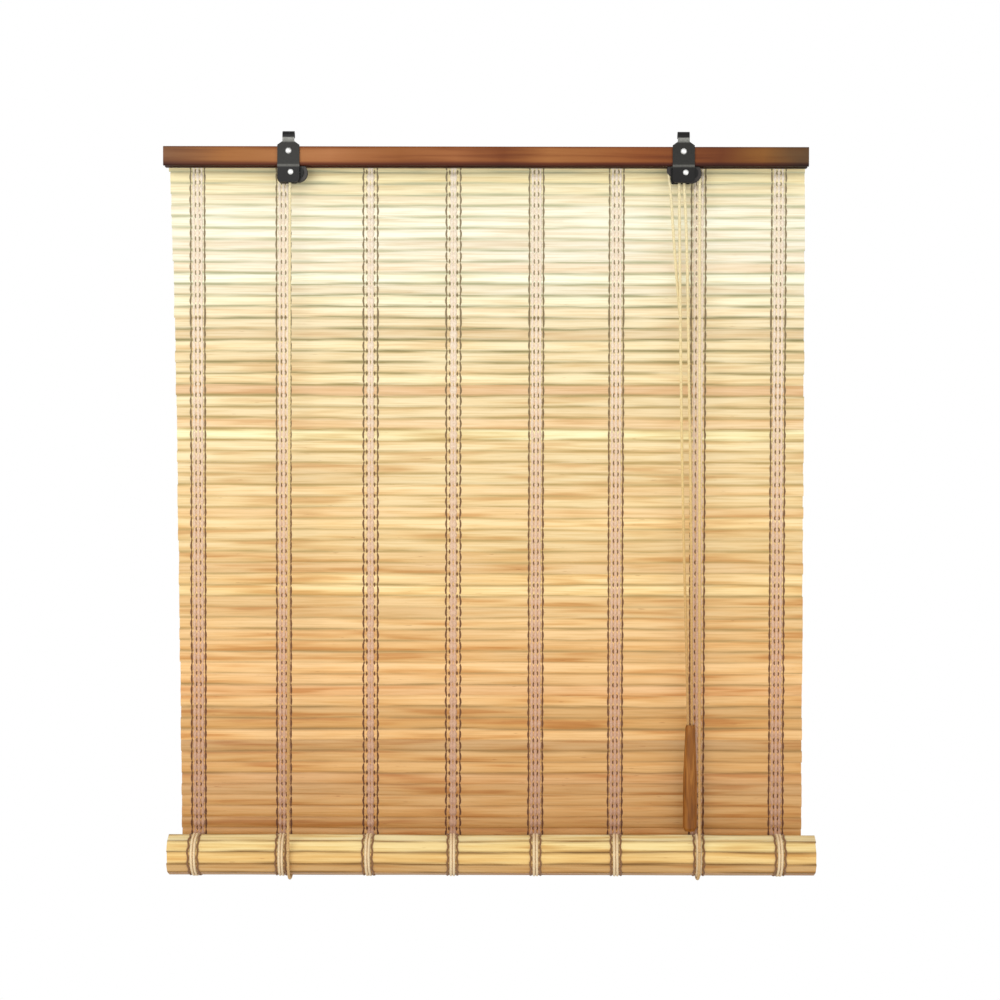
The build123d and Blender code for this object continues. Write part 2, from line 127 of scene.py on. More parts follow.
# Cord places, the same as in the part's source
CORD_RADIUS = 0.0015
CORD_Y = 0.0042
LEFT_CORD_X = -0.1828
RIGHT_CORD_X = 0.1992
LEFT_PULL_X = 0.1799
RIGHT_PULL_X = 0.1842
FRONT_CORD_Y = -0.02109
BACK_CORD_Y = 0.02549
WHEEL_EXIT_Z = -0.0359
STAPLE_Z = -0.0161
GROOVE_Z = -0.0265
GROOVE_TOP_Z = -0.0258
GROOVE_BEND = 0.018
PULL_TOP_Z = -0.5613
BIGHT_TOP_Z = -0.665
BIGHT_FLOOR_Z = -0.6938
CORD_JOIN_Z = -0.6646


def linear(code):
    """Linear colour of an sRGB hex code."""
    shares = [int(code[i:i + 2], 16) / 255 for i in (0, 2, 4)]
    return [s / 12.92 if s <= 0.04045 else ((s + 0.055) / 1.055) ** 2.4 for s in shares]


def colour_property(name, description, code):
    return FloatVectorProperty(name=name, description=description, subtype="COLOR", size=3,
                               min=0, max=1, default=linear(code))


def length_property(name, description, default):
    return FloatProperty(name=name, description=description, default=default, min=0,
                         unit="LENGTH", precision=5)


class SlatSettings(bpy.types.PropertyGroup):
    count: IntProperty(name="Slats", description="Slats in the hanging mat", default=62, min=2)
    upper: IntProperty(name="Upper slats", description="Slats still hanging when raised", default=14, min=1)
    seed: IntProperty(name="Seed", description="Seed of the slats' tints and lengths", default=11)
    width: length_property("Width", "Width of one slat, edges touching", 0.01075)
    thickness: length_property("Thickness", "Thickness of one slat at its crest", 0.0024)
    end_play: length_property("End play", "How unevenly the slats are cut", 0.0009)
    wander: length_property("Wander", "How far a slat bends off its line", 0.0004)
    # Slat colours down the mat: partly the slats' own tone, partly painted shade that darkens them towards the
    # roll; the first colour is painted shade under the rail
    first_colour: colour_property("First", "First slats under the rail", "FFF0BB")
    top_colour: colour_property("Top", "Pale slats below those", "FFFAE4")
    high_colour: colour_property("High", "Slats a quarter of the way down", "FAE9BE")
    cream_colour: colour_property("Cream", "Slats above the middle", "FCE8B8")
    middle_colour: colour_property("Middle", "Slats half way down", "FADEA6")
    honey_colour: colour_property("Honey", "Slats below the middle", "F4CC92")
    low_colour: colour_property("Low", "Slats near the roll", "CC9A5E")
    peach_colour: colour_property("Peach", "Reddish slats", "F0B684")
    tan_colour: colour_property("Tan", "Brown stretches of a slat", "CC9A58")
    # Joint colours are painted shade: the dark lines stand for the shade between neighbouring slats
    top_joint: colour_property("Top joints", "Lines between the first slats", "C0BE98")
    high_joint: colour_property("High joints", "Lines between the upper slats", "8C8658")
    middle_joint: colour_property("Middle joints", "Lines between the middle slats", "B89C60")
    low_joint: colour_property("Low joints", "Lines between the lower slats", "90622E")
    roll_joint: colour_property("Roll joints", "Lines between the wound slats", "8A6430")


class YarnSettings(bpy.types.PropertyGroup):
    pale_radius: length_property("Pale radius", "Radius of a pale yarn", 0.0015)
    dark_radius: length_property("Dark radius", "Radius of a dark yarn", 0.0009)
    pale_spacing: length_property("Pale spacing", "Distance between pale yarns", 0.0036)
    edge_offset: length_property("Edge offset", "Edge yarn's distance from the column's middle", 0.0066)
    edge_wave: length_property("Edge wave", "Sideways wave of an edge yarn", 0.0007)


class CordSettings(bpy.types.PropertyGroup):
    lay: length_property("Lay", "Length of one turn of the twisted cord", 0.009)


class StageSettings(bpy.types.PropertyGroup):
    distance: length_property("Distance", "Camera's distance from the blind", 1.91)
    lens: FloatProperty(name="Lens", description="Focal length in millimetres", default=73.6)
    pitch: FloatProperty(name="Pitch", description="Downward tilt of the camera",
                         default=math.radians(1.6), subtype="ANGLE")
    tilt: FloatProperty(name="Tilt", description="Sideways tilt of the camera",
                        default=math.radians(0.1), subtype="ANGLE")
    aim_x: FloatProperty(name="Aim X", description="Point in the middle of the picture", default=0.0135,
                         unit="LENGTH")
    aim_z: FloatProperty(name="Aim Z", description="Height in the middle of the picture", default=-0.3386,
                         unit="LENGTH")


# Small tools for materials and meshes
def add_node(tree, kind, settings=None, inputs=None, stops=None):
    """Adds a shader node, sets it, fills or links its inputs, and sets its colour stops."""
    node = tree.nodes.new("ShaderNode" + kind)
    for name, value in (settings or {}).items():
        setattr(node, name, value)
    for name, value in (inputs or {}).items():
        if isinstance(value, bpy.types.NodeSocket):
            tree.links.new(value, node.inputs[name])
        else:
            node.inputs[name].default_value = value
    if stops:
        elements = node.color_ramp.elements
        while len(elements) < len(stops):
            elements.new(1.0)
        for element, (place, code) in zip(elements, stops):
            element.position = place
            element.color = (*linear(code), 1.0)
    return node


def new_material(name):
    made = bpy.data.materials.new(name)
    made.use_nodes = True
    made.node_tree.nodes.clear()
    return made, made.node_tree


def finish_material(tree, shader):
    add_node(tree, "OutputMaterial", inputs={"Surface": shader.outputs[0]})


def new_object(name, mesh, materials):
    made = bpy.data.objects.new(name, mesh)
    bpy.context.scene.collection.objects.link(made)
    for material in materials:
        made.data.materials.append(material)
    return made


def dress_node(name, material):
    """Gives a node of the frame its material."""
    data = frame["nodes"][name].data
    data.materials.clear()
    data.materials.append(material)


def mix_colours(a, b, share):
    return [x + (y - x) * share for x, y in zip(a, b)]


def grain_noise(tree, grain, length, width, detail):
    """Noise drawn out along the grain, its grains about that long and wide."""
    place = add_node(tree, "Mapping", inputs={
        "Vector": grain.outputs[0], "Scale": (1 / length, 1 / width, 1)})
    return add_node(tree, "TexNoise", {"noise_dimensions": "2D"}, {
        "Vector": place.outputs[0], "Scale": 1.0, "Detail": detail})


# Materials
def split_bamboo():
    # Split bamboo, planed and thinly varnished: faint fibres, rare brown streaks, and soft painted shade along the
    # edges where the slats meet
    fibre_length, fibre_width = 0.06, 0.0016
    stretch_length, stretch_width = 0.13, 0.008
    streak_length, streak_width = 0.022, 0.0017
    fade_length = 0.07
    made, tree = new_material("varnished_bamboo")
    tint = add_node(tree, "Attribute", {"attribute_name": "slat_colour"})
    grain = add_node(tree, "UVMap", {"uv_map": "grain"})
    fibre = grain_noise(tree, grain, fibre_length, fibre_width, 3.0)
    fibre_tone = add_node(tree, "ValToRGB", inputs={"Fac": fibre.outputs["Fac"]},
                          stops=[(0.30, "EADFC8"), (0.55, "FFFFFF")])
    stretch = grain_noise(tree, grain, stretch_length, stretch_width, 2.0)
    stretch_tone = add_node(tree, "ValToRGB", inputs={"Fac": stretch.outputs["Fac"]},
                            stops=[(0.30, "DDBD90"), (0.44, "F8EEDC"), (0.60, "FFFFFF")])
    streak = grain_noise(tree, grain, streak_length, streak_width, 2.0)
    streak_tone = add_node(tree, "ValToRGB", inputs={"Fac": streak.outputs["Fac"]},
                           stops=[(0.15, "B07A40"), (0.24, "FFFFFF")])
    coloured = tint.outputs["Color"]
    for tone, strength in ((fibre_tone, 0.6), (stretch_tone, tint.outputs["Alpha"]),
                           (streak_tone, tint.outputs["Alpha"])):
        layer = add_node(tree, "Mix", {"data_type": "RGBA", "blend_type": "MULTIPLY"}, {
            0: strength, 6: coloured, 7: tone.outputs[0]})
        coloured = layer.outputs[2]
    # The painted shade line at each joint comes and goes along the slat: it stands for the shade between
    # neighbouring slats
    edge = add_node(tree, "Attribute", {"attribute_name": "edge"})
    joint = add_node(tree, "Attribute", {"attribute_name": "joint_shade_colour"})
    near = add_node(tree, "MapRange", {"interpolation_type": "SMOOTHSTEP"}, {
        "Value": edge.outputs["Fac"], "From Min": 0.46, "From Max": 0.97})
    fade = grain_noise(tree, grain, fade_length, SLAT_PITCH, 1.0)
    share = add_node(tree, "MapRange", inputs={
        "Value": fade.outputs["Fac"], "From Min": 0.32, "From Max": 0.62, "To Min": 0.25, "To Max": 1.0})
    shade = add_node(tree, "Math", {"operation": "MULTIPLY"}, {0: near.outputs[0], 1: share.outputs[0]})
    lined = add_node(tree, "Mix", {"data_type": "RGBA"}, {
        0: shade.outputs[0], 6: coloured, 7: joint.outputs["Color"]})
    bump = add_node(tree, "Bump", inputs={
        "Strength": 0.2, "Distance": 0.0003, "Height": fibre.outputs["Fac"]})
    shader = add_node(tree, "BsdfPrincipled", inputs={
        "Base Color": lined.outputs[2], "Roughness": 0.46, "Specular IOR Level": 0.35,
        "Normal": bump.outputs[0]})
    finish_material(tree, shader)
    return made


def cotton_yarn(name, stops):
    # Soft-spun cotton: dull, fuzzy and mottled; its colour follows the row of slats, where the given stops darken
    # it downwards as painted shade
    fibre_size = 0.0012
    made, tree = new_material(name)
    row = add_node(tree, "Attribute", {"attribute_name": "row"})
    tint_and_shade = add_node(tree, "ValToRGB", inputs={"Fac": row.outputs["Fac"]}, stops=stops)
    place = add_node(tree, "TexCoord")
    fuzz = add_node(tree, "TexNoise", inputs={
        "Vector": place.outputs["Object"], "Scale": 1 / fibre_size, "Detail": 3.0})
    tone = add_node(tree, "ValToRGB", inputs={"Fac": fuzz.outputs["Fac"]},
                    stops=[(0.25, "D6C4B4"), (0.5, "F6F1EA"), (0.75, "FFFFFF")])
    coloured = add_node(tree, "Mix", {"data_type": "RGBA", "blend_type": "MULTIPLY"}, {
        0: 0.6, 6: tint_and_shade.outputs[0], 7: tone.outputs[0]})
    bump = add_node(tree, "Bump", inputs={
        "Strength": 0.5, "Distance": 0.0003, "Height": fuzz.outputs["Fac"]})
    shader = add_node(tree, "BsdfPrincipled", inputs={
        "Base Color": coloured.outputs[2], "Roughness": 0.9, "Specular IOR Level": 0.15,
        "Sheen Weight": 0.2, "Normal": bump.outputs[0]})
    finish_material(tree, shader)
    return made


def stained_wood():
    # Softwood batten under brown stain: the stain lies in long patches, darker to the right
    grain_length, grain_width = 0.12, 0.005
    patch_length = 0.05
    patch_reach = 0.02
    made, tree = new_material("stained_softwood")
    place = add_node(tree, "TexCoord")
    grain_place = add_node(tree, "Mapping", inputs={
        "Vector": place.outputs["Object"], "Scale": (1 / grain_length, 1 / grain_width, 1 / grain_width)})
    grain = add_node(tree, "TexNoise", inputs={
        "Vector": grain_place.outputs[0], "Scale": 1.0, "Detail": 4.0, "Distortion": 0.3})
    grain_tone = add_node(tree, "ValToRGB", inputs={"Fac": grain.outputs["Fac"]},
                          stops=[(0.30, "C9AE92"), (0.5, "F4ECE2"), (0.7, "FFFFFF")])
    patch = add_node(tree, "TexNoise", inputs={
        "Vector": place.outputs["Object"], "Scale": 1 / patch_length, "Detail": 2.0})
    along = add_node(tree, "SeparateXYZ", inputs={"Vector": place.outputs["Object"]})
    drift = add_node(tree, "MapRange", inputs={
        "Value": patch.outputs["Fac"], "To Min": -patch_reach, "To Max": patch_reach})
    moved = add_node(tree, "Math", {"operation": "ADD"}, {0: along.outputs["X"], 1: drift.outputs[0]})
    share = add_node(tree, "MapRange", inputs={
        "Value": moved.outputs[0], "From Min": rail_low.x, "From Max": rail_high.x})
    depth = add_node(tree, "ValToRGB", inputs={"Fac": share.outputs[0]}, stops=[
        (0.0, "7E5638"), (0.10, "A06834"), (0.26, "AC7042"), (0.36, "955A2B"), (0.46, "A06438"),
        (0.53, "80461C"), (0.60, "A66C3A"), (0.74, "8E5024"), (0.86, "6A3614"), (0.94, "875724"),
        (1.0, "5C4228")])
    stained = add_node(tree, "Mix", {"data_type": "RGBA", "blend_type": "MULTIPLY"}, {
        0: 0.8, 6: depth.outputs[0], 7: grain_tone.outputs[0]})
    # Painted shade: the rail darkens along its bottom edge, where shade falls on the underside, and a little along
    # its top edge
    height = add_node(tree, "MapRange", inputs={
        "Value": along.outputs["Z"], "From Min": rail_low.z, "From Max": rail_high.z})
    edge = add_node(tree, "ValToRGB", inputs={"Fac": height.outputs[0]}, stops=[
        (0.0, "6E4A30"), (0.12, "9A7250"), (0.24, "FFFFFF"), (0.88, "FFFFFF"), (1.0, "CDB49C")])
    edged = add_node(tree, "Mix", {"data_type": "RGBA", "blend_type": "MULTIPLY"}, {
        0: 1.0, 6: stained.outputs[2], 7: edge.outputs[0]})
    bump = add_node(tree, "Bump", inputs={
        "Strength": 0.2, "Distance": 0.0004, "Height": grain.outputs["Fac"]})
    shader = add_node(tree, "BsdfPrincipled", inputs={
        "Base Color": edged.outputs[2], "Roughness": 0.5, "Specular IOR Level": 0.2,
        "Normal": bump.outputs[0]})
    finish_material(tree, shader)
    return made


def turned_wood(name, stops, grain_length, grain_width):
    # Turned hardwood under stain: grain along the turning, a waxy sheen
    made, tree = new_material(name)
    place = add_node(tree, "TexCoord")
    grain_place = add_node(tree, "Mapping", inputs={
        "Vector": place.outputs["Object"], "Scale": (1 / grain_width, 1 / grain_width, 1 / grain_length)})
    grain = add_node(tree, "TexNoise", inputs={
        "Vector": grain_place.outputs[0], "Scale": 1.0, "Detail": 5.0, "Distortion": 0.6})
    tone = add_node(tree, "ValToRGB", inputs={"Fac": grain.outputs["Fac"]}, stops=stops)
    bump = add_node(tree, "Bump", inputs={
        "Strength": 0.3, "Distance": 0.0003, "Height": grain.outputs["Fac"]})
    shader = add_node(tree, "BsdfPrincipled", inputs={
        "Base Color": tone.outputs[0], "Roughness": 0.5, "Specular IOR Level": 0.25,
        "Normal": bump.outputs[0]})
    finish_material(tree, shader)
    return made


def blacked_steel():
    # Pressed steel under thin black paint: greyer on the flat, with painted highlights on the bends
    plate_low, plate_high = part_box("left_hook_plate")
    grit = 0.0009
    made, tree = new_material("black_painted_steel")
    place = add_node(tree, "TexCoord")
    parts = add_node(tree, "SeparateXYZ", inputs={"Vector": place.outputs["Object"]})
    speck = add_node(tree, "TexNoise", inputs={
        "Vector": place.outputs["Object"], "Scale": 1 / grit, "Detail": 4.0})
    share = add_node(tree, "MapRange", inputs={
        "Value": parts.outputs["Z"], "From Min": plate_low.z, "From Max": plate_high.z})
    # Height bands of the paint: the light lines at the lower bend and on the hook's neck are painted highlights
    # where the bends catch the light
    highlight_band = add_node(tree, "ValToRGB", inputs={"Fac": share.outputs[0]}, stops=[
        (0.0, "0B0908"), (0.29, "110F0D"), (0.322, "5E5D58"), (0.336, "5E5D58"), (0.36, "282723"),
        (0.77, "24231F"), (0.80, "7A7A74"), (0.86, "94948E"), (0.885, "080706")])
    tone = add_node(tree, "ValToRGB", inputs={"Fac": speck.outputs["Fac"]},
                    stops=[(0.3, "9A9A96"), (0.6, "FFFFFF")])
    speckled_highlights = add_node(tree, "Mix", {"data_type": "RGBA", "blend_type": "MULTIPLY"}, {
        0: 0.6, 6: highlight_band.outputs[0], 7: tone.outputs[0]})
    rough = add_node(tree, "MapRange", inputs={
        "Value": speck.outputs["Fac"], "To Min": 0.32, "To Max": 0.55})
    shader = add_node(tree, "BsdfPrincipled", inputs={
        "Base Color": speckled_highlights.outputs[2], "Metallic": 0.2, "Roughness": rough.outputs[0],
        "Specular IOR Level": 0.3})
    finish_material(tree, shader)
    return made


def zinc_plate():
    # Zinc-plated steel: bright, with a faint grey mottling
    mottle = 0.0015
    made, tree = new_material("zinc_plated_steel")
    place = add_node(tree, "TexCoord")
    cloud = add_node(tree, "TexNoise", inputs={
        "Vector": place.outputs["Object"], "Scale": 1 / mottle, "Detail": 3.0})
    tone = add_node(tree, "ValToRGB", inputs={"Fac": cloud.outputs["Fac"]},
                    stops=[(0.3, "D9D9D6"), (0.7, "F7F7F4")])
    rough = add_node(tree, "MapRange", inputs={
        "Value": cloud.outputs["Fac"], "To Min": 0.25, "To Max": 0.45})
    shader = add_node(tree, "BsdfPrincipled", inputs={
        "Base Color": tone.outputs[0], "Metallic": 0.85, "Roughness": rough.outputs[0]})
    finish_material(tree, shader)
    return made


def wheel_plastic():
    # Moulded dark brown plastic: dull, with a fine moulded grain
    grain_size = 0.0008
    made, tree = new_material("brown_moulded_plastic")
    place = add_node(tree, "TexCoord")
    grain = add_node(tree, "TexNoise", inputs={
        "Vector": place.outputs["Object"], "Scale": 1 / grain_size, "Detail": 2.0})
    tone = add_node(tree, "ValToRGB", inputs={"Fac": grain.outputs["Fac"]},
                    stops=[(0.3, "140D08"), (0.7, "231810")])
    bump = add_node(tree, "Bump", inputs={
        "Strength": 0.2, "Distance": 0.0002, "Height": grain.outputs["Fac"]})
    shader = add_node(tree, "BsdfPrincipled", inputs={
        "Base Color": tone.outputs[0], "Roughness": 0.45, "Normal": bump.outputs[0]})
    finish_material(tree, shader)
    return made


# Slats
def slat_template(cuts_along, cuts_across):
    """One unit slat: X along it, Y from its flat back to its crest, Z across it."""
    bm = bmesh.new()
    bmesh.ops.create_cube(bm, size=1.0, matrix=Matrix.Translation((0.5, 0.5, 0.0)))
    for axis, cuts in ((0, cuts_along), (2, cuts_across)):
        edges = [e for e in bm.edges if abs(e.verts[0].co[axis] - e.verts[1].co[axis]) > 0.5]
        bmesh.ops.subdivide_edges(bm, edges=edges, cuts=cuts, use_grid_fill=True)
    return bm


def blend_stops(stops, share):
    """Colour at that share of the way through a list of places and colours."""
    for (start, colour), (end, after) in zip(stops, stops[1:]):
        if start <= share <= end:
            return mix_colours(colour, after, (share - start) / (end - start))


def slat_tint(slats, share, draw):
    """Colour of a slat whose middle is that share of the way down the mat."""
    # The stops darken down the mat, partly the slats' own tone and partly painted shade; the first stops hold
    # painted shade under the rail
    tint = blend_stops([
        (0.0, slats.first_colour), (0.02, slats.first_colour), (0.075, slats.top_colour),
        (0.14, slats.top_colour), (0.25, slats.high_colour), (0.42, slats.cream_colour),
        (0.54, slats.middle_colour), (0.70, slats.honey_colour), (1.0, slats.low_colour)], share)
    peach = max(0.0, draw.gauss(-0.15, 0.35)) * min(1.0, 2 * share)
    tint = mix_colours(tint, slats.peach_colour, min(0.6, peach))
    tan = max(0.0, draw.gauss(-0.2, 0.45)) * share
    tint = mix_colours(tint, slats.tan_colour, min(0.7, tan))
    level = draw.gauss(1.0, 0.04 + 0.06 * share)
    return [min(1.0, c * level) for c in tint]


def joint_shade_tint(slats, share):
    """Colour of the painted shade lines beside a slat whose middle is that share of the way down the mat."""
    return blend_stops([
        (0.0, slats.top_joint), (0.12, slats.top_joint), (0.24, slats.high_joint),
        (0.40, slats.middle_joint), (0.55, slats.middle_joint), (1.0, slats.low_joint)], share)


def joint_strengths(slats, draw):
    """How clearly the painted shade at each joint of the mat shows, from the top: they differ below the middle."""
    strengths = []
    for number in range(slats.count + 1):
        unevenness = min(1.0, max(0.0, 2 * number / slats.count - 0.7))
        strengths.append(1.0 - draw.uniform(0.0, 0.4) * unevenness)
    return strengths


def add_slat(target, template, slats, place, left, right, tint, joint, edges, draw, row):
    """Adds one slat to a bmesh: place maps its own axes to the row frame, left and right are its ends,
    edges the strengths of the painted shade lines along its lower and upper edge."""
    slat = template.copy()
    grain = slat.loops.layers.uv.new("grain")
    tint_and_shade = slat.verts.layers.float_color.new("slat_colour")
    joint_shade_layer = slat.verts.layers.float_color.new("joint_shade_colour")
    edge = slat.verts.layers.float.new("edge")
    length = right - left
    width = slats.width * draw.uniform(0.99, 1.01)
    # Neighbouring slats bend alike, so that they keep touching
    bends = 1.7
    phase = 20.0 * row + draw.uniform(-0.3, 0.3)
    # Brown patches along the slat, and how much brown its grain shows: more towards the bottom of the mat
    patch_count = 8
    patches = [draw.uniform(0.0, 1.0) ** 2 for _ in range(patch_count)]
    patch_depth = 0.4 * min(1.0, 1.4 * row)
    figure = min(0.85, 0.2 + 1.1 * row)
    # Each slat takes its own stretch of the grain
    grain_shift = 37.0 * row
    for vert in slat.verts:
        along, front, across = vert.co
        patch = along * (patch_count - 1)
        low = min(int(patch), patch_count - 2)
        tan_share = patches[low] + (patches[low + 1] - patches[low]) * (patch - low)
        vert[tint_and_shade] = (*mix_colours(tint, slats.tan_colour, tan_share * patch_depth), figure)
        vert[joint_shade_layer] = (*joint, 1.0)
        vert[edge] = abs(2 * across) * edges[across > 0]
        crest = SLAT_SIDE + (slats.thickness - SLAT_SIDE) * (1 - (2 * across) ** 2)
        sway = slats.wander * math.sin(phase + bends * math.tau * along)
        vert.co = (left + along * length, front * crest, across * width + sway)
    for face in slat.faces:
        for loop in face.loops:
            loop[grain].uv = (loop.vert.co.x, loop.vert.co.z + grain_shift)
    bmesh.ops.transform(slat, matrix=place, verts=slat.verts)
    part = bpy.data.meshes.new("slat")
    slat.to_mesh(part)
    slat.free()
    target.from_mesh(part)
    bpy.data.meshes.remove(part)


def slat_mesh(name, bm):
    bmesh.ops.recalc_face_normals(bm, faces=bm.faces)
    mesh = bpy.data.meshes.new(name)
    bm.to_mesh(mesh)
    bm.free()
    mesh.shade_smooth()
    mesh.set_sharp_from_angle(angle=math.radians(35))
    return mesh


def mat_place(number):
    """Slat's own axes set on the back face of the hanging mat, crest to the room."""
    middle = mat_high.z - (number + 0.5) * SLAT_PITCH
    return Matrix(((1, 0, 0, 0), (0, -1, 0, mat_high.y), (0, 0, 1, middle), (0, 0, 0, 1)))


def winding_radius(angle):
    """Outer radius of the winding: round for a share of each turn, then stepping in to the next."""
    turns = angle / math.tau
    whole = math.floor(turns)
    step = max(0, turns - whole - ROUND_SHARE) / (1 - ROUND_SHARE)
    return ROLL_FLAT_RADIUS - TURN_PITCH * (whole + step)


def roll_slats(thickness):
    """Angle and radius of each wound slat, from the back of the roll down, forward and round."""
    places = []
    angle = math.atan(SLAT_PITCH / 2 / (ROLL_FLAT_RADIUS - SLAT_SIDE))
    radius = winding_radius(angle)
    while radius - thickness >= CORE_LEAST_RADIUS:
        places.append((angle, radius))
        angle += 2 * math.atan(SLAT_PITCH / 2 / (radius - SLAT_SIDE))
        radius = winding_radius(angle)
    return places


def roll_point(x, angle, radius):
    return Vector((x, roll_y + radius * math.cos(angle), roll_z - radius * math.sin(angle)))


def roll_place(angle, radius):
    """Slat's own axes set on the winding, its back outwards."""
    outward = Vector((0, math.cos(angle), -math.sin(angle)))
    along = Vector((0, -math.sin(angle), -math.cos(angle)))
    turn = Matrix((Vector((1, 0, 0)), -outward, along)).transposed().to_4x4()
    return Matrix.Translation(roll_point(0, angle, radius)) @ turn


# Yarn and cord
def route_curve(points, resolution, radii=None, tilts=None):
    """Curve object along a smooth spline with those control points."""
    curve = bpy.data.curves.new("route", "CURVE")
    curve.dimensions = "3D"
    curve.resolution_u = resolution
    spline = curve.splines.new("NURBS")
    spline.points.add(len(points) - 1)
    for number, (point, place) in enumerate(zip(spline.points, points)):
        point.co = (*place, 1.0)
        point.radius = radii[number] if radii else 1.0
        point.tilt = tilts[number] if tilts else 0.0
    spline.order_u = 3
    spline.use_endpoint_u = True
    return bpy.data.objects.new("route", curve)


def take_mesh(route):
    """Mesh of a route, which is then removed."""
    mesh = bpy.data.meshes.new_from_object(route)
    bpy.data.curves.remove(route.data)
    return mesh


def add_yarn(target, points, radii, radius, material_index):
    """Adds a round yarn along the points to a bmesh."""
    route = route_curve(points, YARN_STEPS, radii)
    route.data.bevel_depth = radius
    route.data.bevel_resolution = 1
    route.data.use_fill_caps = True
    part = take_mesh(route)
    start = len(target.faces)
    target.from_mesh(part)
    bpy.data.meshes.remove(part)
    target.faces.ensure_lookup_table()
    for face in target.faces[start:]:
        face.material_index = material_index
        face.smooth = True


def yarn_mesh(name, bm, row_of):
    """Mesh of the yarns, with each point's row in the mat as an attribute."""
    row = bm.verts.layers.float.new("row")
    for vert in bm.verts:
        vert[row] = row_of(vert.co)
    mesh = bpy.data.meshes.new(name)
    bm.to_mesh(mesh)
    bm.free()
    return mesh


def mat_row(place):
    """Share of the way down the mat."""
    return min(1.0, max(0.0, (mat_high.z - place.z) / (mat_high.z - mat_low.z)))


def waved_run(x, first, last, crest_y, dip_y, swing, draw):
    """Control points of a yarn that rises over each slat and dips between slats."""
    points = [(x, (crest_y + dip_y) / 2, mat_high.z - first * SLAT_PITCH)]
    for number in range(first, last):
        joint = mat_high.z - (number + 1) * SLAT_PITCH
        stray = draw.uniform(-YARN_STRAY, YARN_STRAY)
        points.append((x + swing + stray, crest_y, joint + SLAT_PITCH / 2))
        points.append((x - swing + stray, dip_y, joint))
    points[-1] = (x, (crest_y + dip_y) / 2, points[-1][2])
    return points


def column_yarns(x, narrow, first, last, yarn, draw):
    """Bmesh of one column of warp yarns, front and back, over those slats."""
    bm = bmesh.new()
    steps = 2 * (last - first) + 1
    # Pale yarns swell over each slat and are pinched at the joints, where the dark ones show
    swollen = [PALE_PINCH if step % 2 == 0 else PALE_SWELL for step in range(steps)]
    even = [1.0] * steps
    if narrow:
        pale_offsets = (-NARROW_PALE_OFFSET, NARROW_PALE_OFFSET)
        pale_radius = NARROW_PALE_SHARE * yarn.pale_radius
        inner = NARROW_INNER_OFFSET
        wave = yarn.edge_wave
    else:
        pale_offsets = (-yarn.pale_spacing, 0.0, yarn.pale_spacing)
        pale_radius = yarn.pale_radius
        inner = WIDE_INNER_OFFSET
        wave = yarn.edge_wave / 2
    front_y = mat_low.y
    for offset in pale_offsets:
        run = waved_run(x + offset, first, last, front_y - PALE_RISE, front_y + PALE_DIP, 0.0, draw)
        add_yarn(bm, run, swollen, pale_radius, PALE)
    for side in (-1, 1):
        edge_x = x + side * yarn.edge_offset
        run = waved_run(edge_x, first, last, front_y - EDGE_RISE, front_y + EDGE_DIP, side * wave, draw)
        add_yarn(bm, run, even, yarn.dark_radius, DARK)
        run = waved_run(x + side * inner, first, last, front_y + INNER_DIP, front_y + INNER_DIP, 0.0, draw)
        add_yarn(bm, run, even, yarn.dark_radius, DARK)
    back_y = mat_high.y
    for offset in (-BACK_PALE_OFFSET, BACK_PALE_OFFSET):
        run = waved_run(x + offset, first, last, back_y + BACK_PALE_RISE, back_y - BACK_PALE_DIP, 0.0, draw)
        add_yarn(bm, run, even, BACK_PALE_RADIUS, PALE)
    for side in (-1, 1):
        run = waved_run(x + side * BACK_DARK_OFFSET, first, last, back_y + BACK_DARK_RISE,
                        back_y - BACK_DARK_DIP, side * BACK_DARK_WAVE, draw)
        add_yarn(bm, run, even, BACK_DARK_RADIUS, DARK)
    return bm


def rope_profile(radius):
    """Three-lobed outline of a cord laid up from three strands."""
    curve = bpy.data.curves.new("lobes", "CURVE")
    curve.dimensions = "2D"
    spline = curve.splines.new("POLY")
    sides = 12
    strands = 3
    lobe_share = 0.13
    spline.points.add(sides - 1)
    for number, point in enumerate(spline.points):
        angle = math.tau * number / sides
        reach = radius * (1 - lobe_share + lobe_share * math.cos(strands * angle))
        point.co = (reach * math.cos(angle), reach * math.sin(angle), 0.0, 1.0)
    spline.use_cyclic_u = True
    return bpy.data.objects.new("lobes", curve)


def route_points(points):
    """Points along the smooth spline of a route."""
    steps = 12
    mesh = take_mesh(route_curve(points, steps))
    found = [tuple(vert.co) for vert in mesh.vertices]
    bpy.data.meshes.remove(mesh)
    return found


def twisted_cord(name, points, lay, material):
    """Twisted cord along a route of control points, with its row as an attribute."""
    steps_per_turn = 9
    reached = [0.0]
    for a, b in zip(points, points[1:]):
        reached.append(reached[-1] + (Vector(b) - Vector(a)).length)
    tilts = [math.tau * distance / lay for distance in reached]
    turns = reached[-1] / lay
    resolution = math.ceil(turns * steps_per_turn / (len(points) - 1))
    route = route_curve(points, resolution, tilts=tilts)
    profile = rope_profile(CORD_RADIUS)
    route.data.bevel_mode = "OBJECT"
    route.data.bevel_object = profile
    route.data.use_fill_caps = True
    for helper in (route, profile):
        bpy.context.scene.collection.objects.link(helper)
    evaluated = route.evaluated_get(bpy.context.evaluated_depsgraph_get())
    part = bpy.data.meshes.new_from_object(evaluated)
    for helper in (route, profile):
        bpy.data.curves.remove(helper.data)
    bm = bmesh.new()
    bm.from_mesh(part)
    bpy.data.meshes.remove(part)
    bmesh.ops.remove_doubles(bm, verts=bm.verts, dist=1e-7)
    bmesh.ops.recalc_face_normals(bm, faces=bm.faces)
    for face in bm.faces:
        face.smooth = True
    return new_object(name, yarn_mesh(name, bm, mat_row), [material])


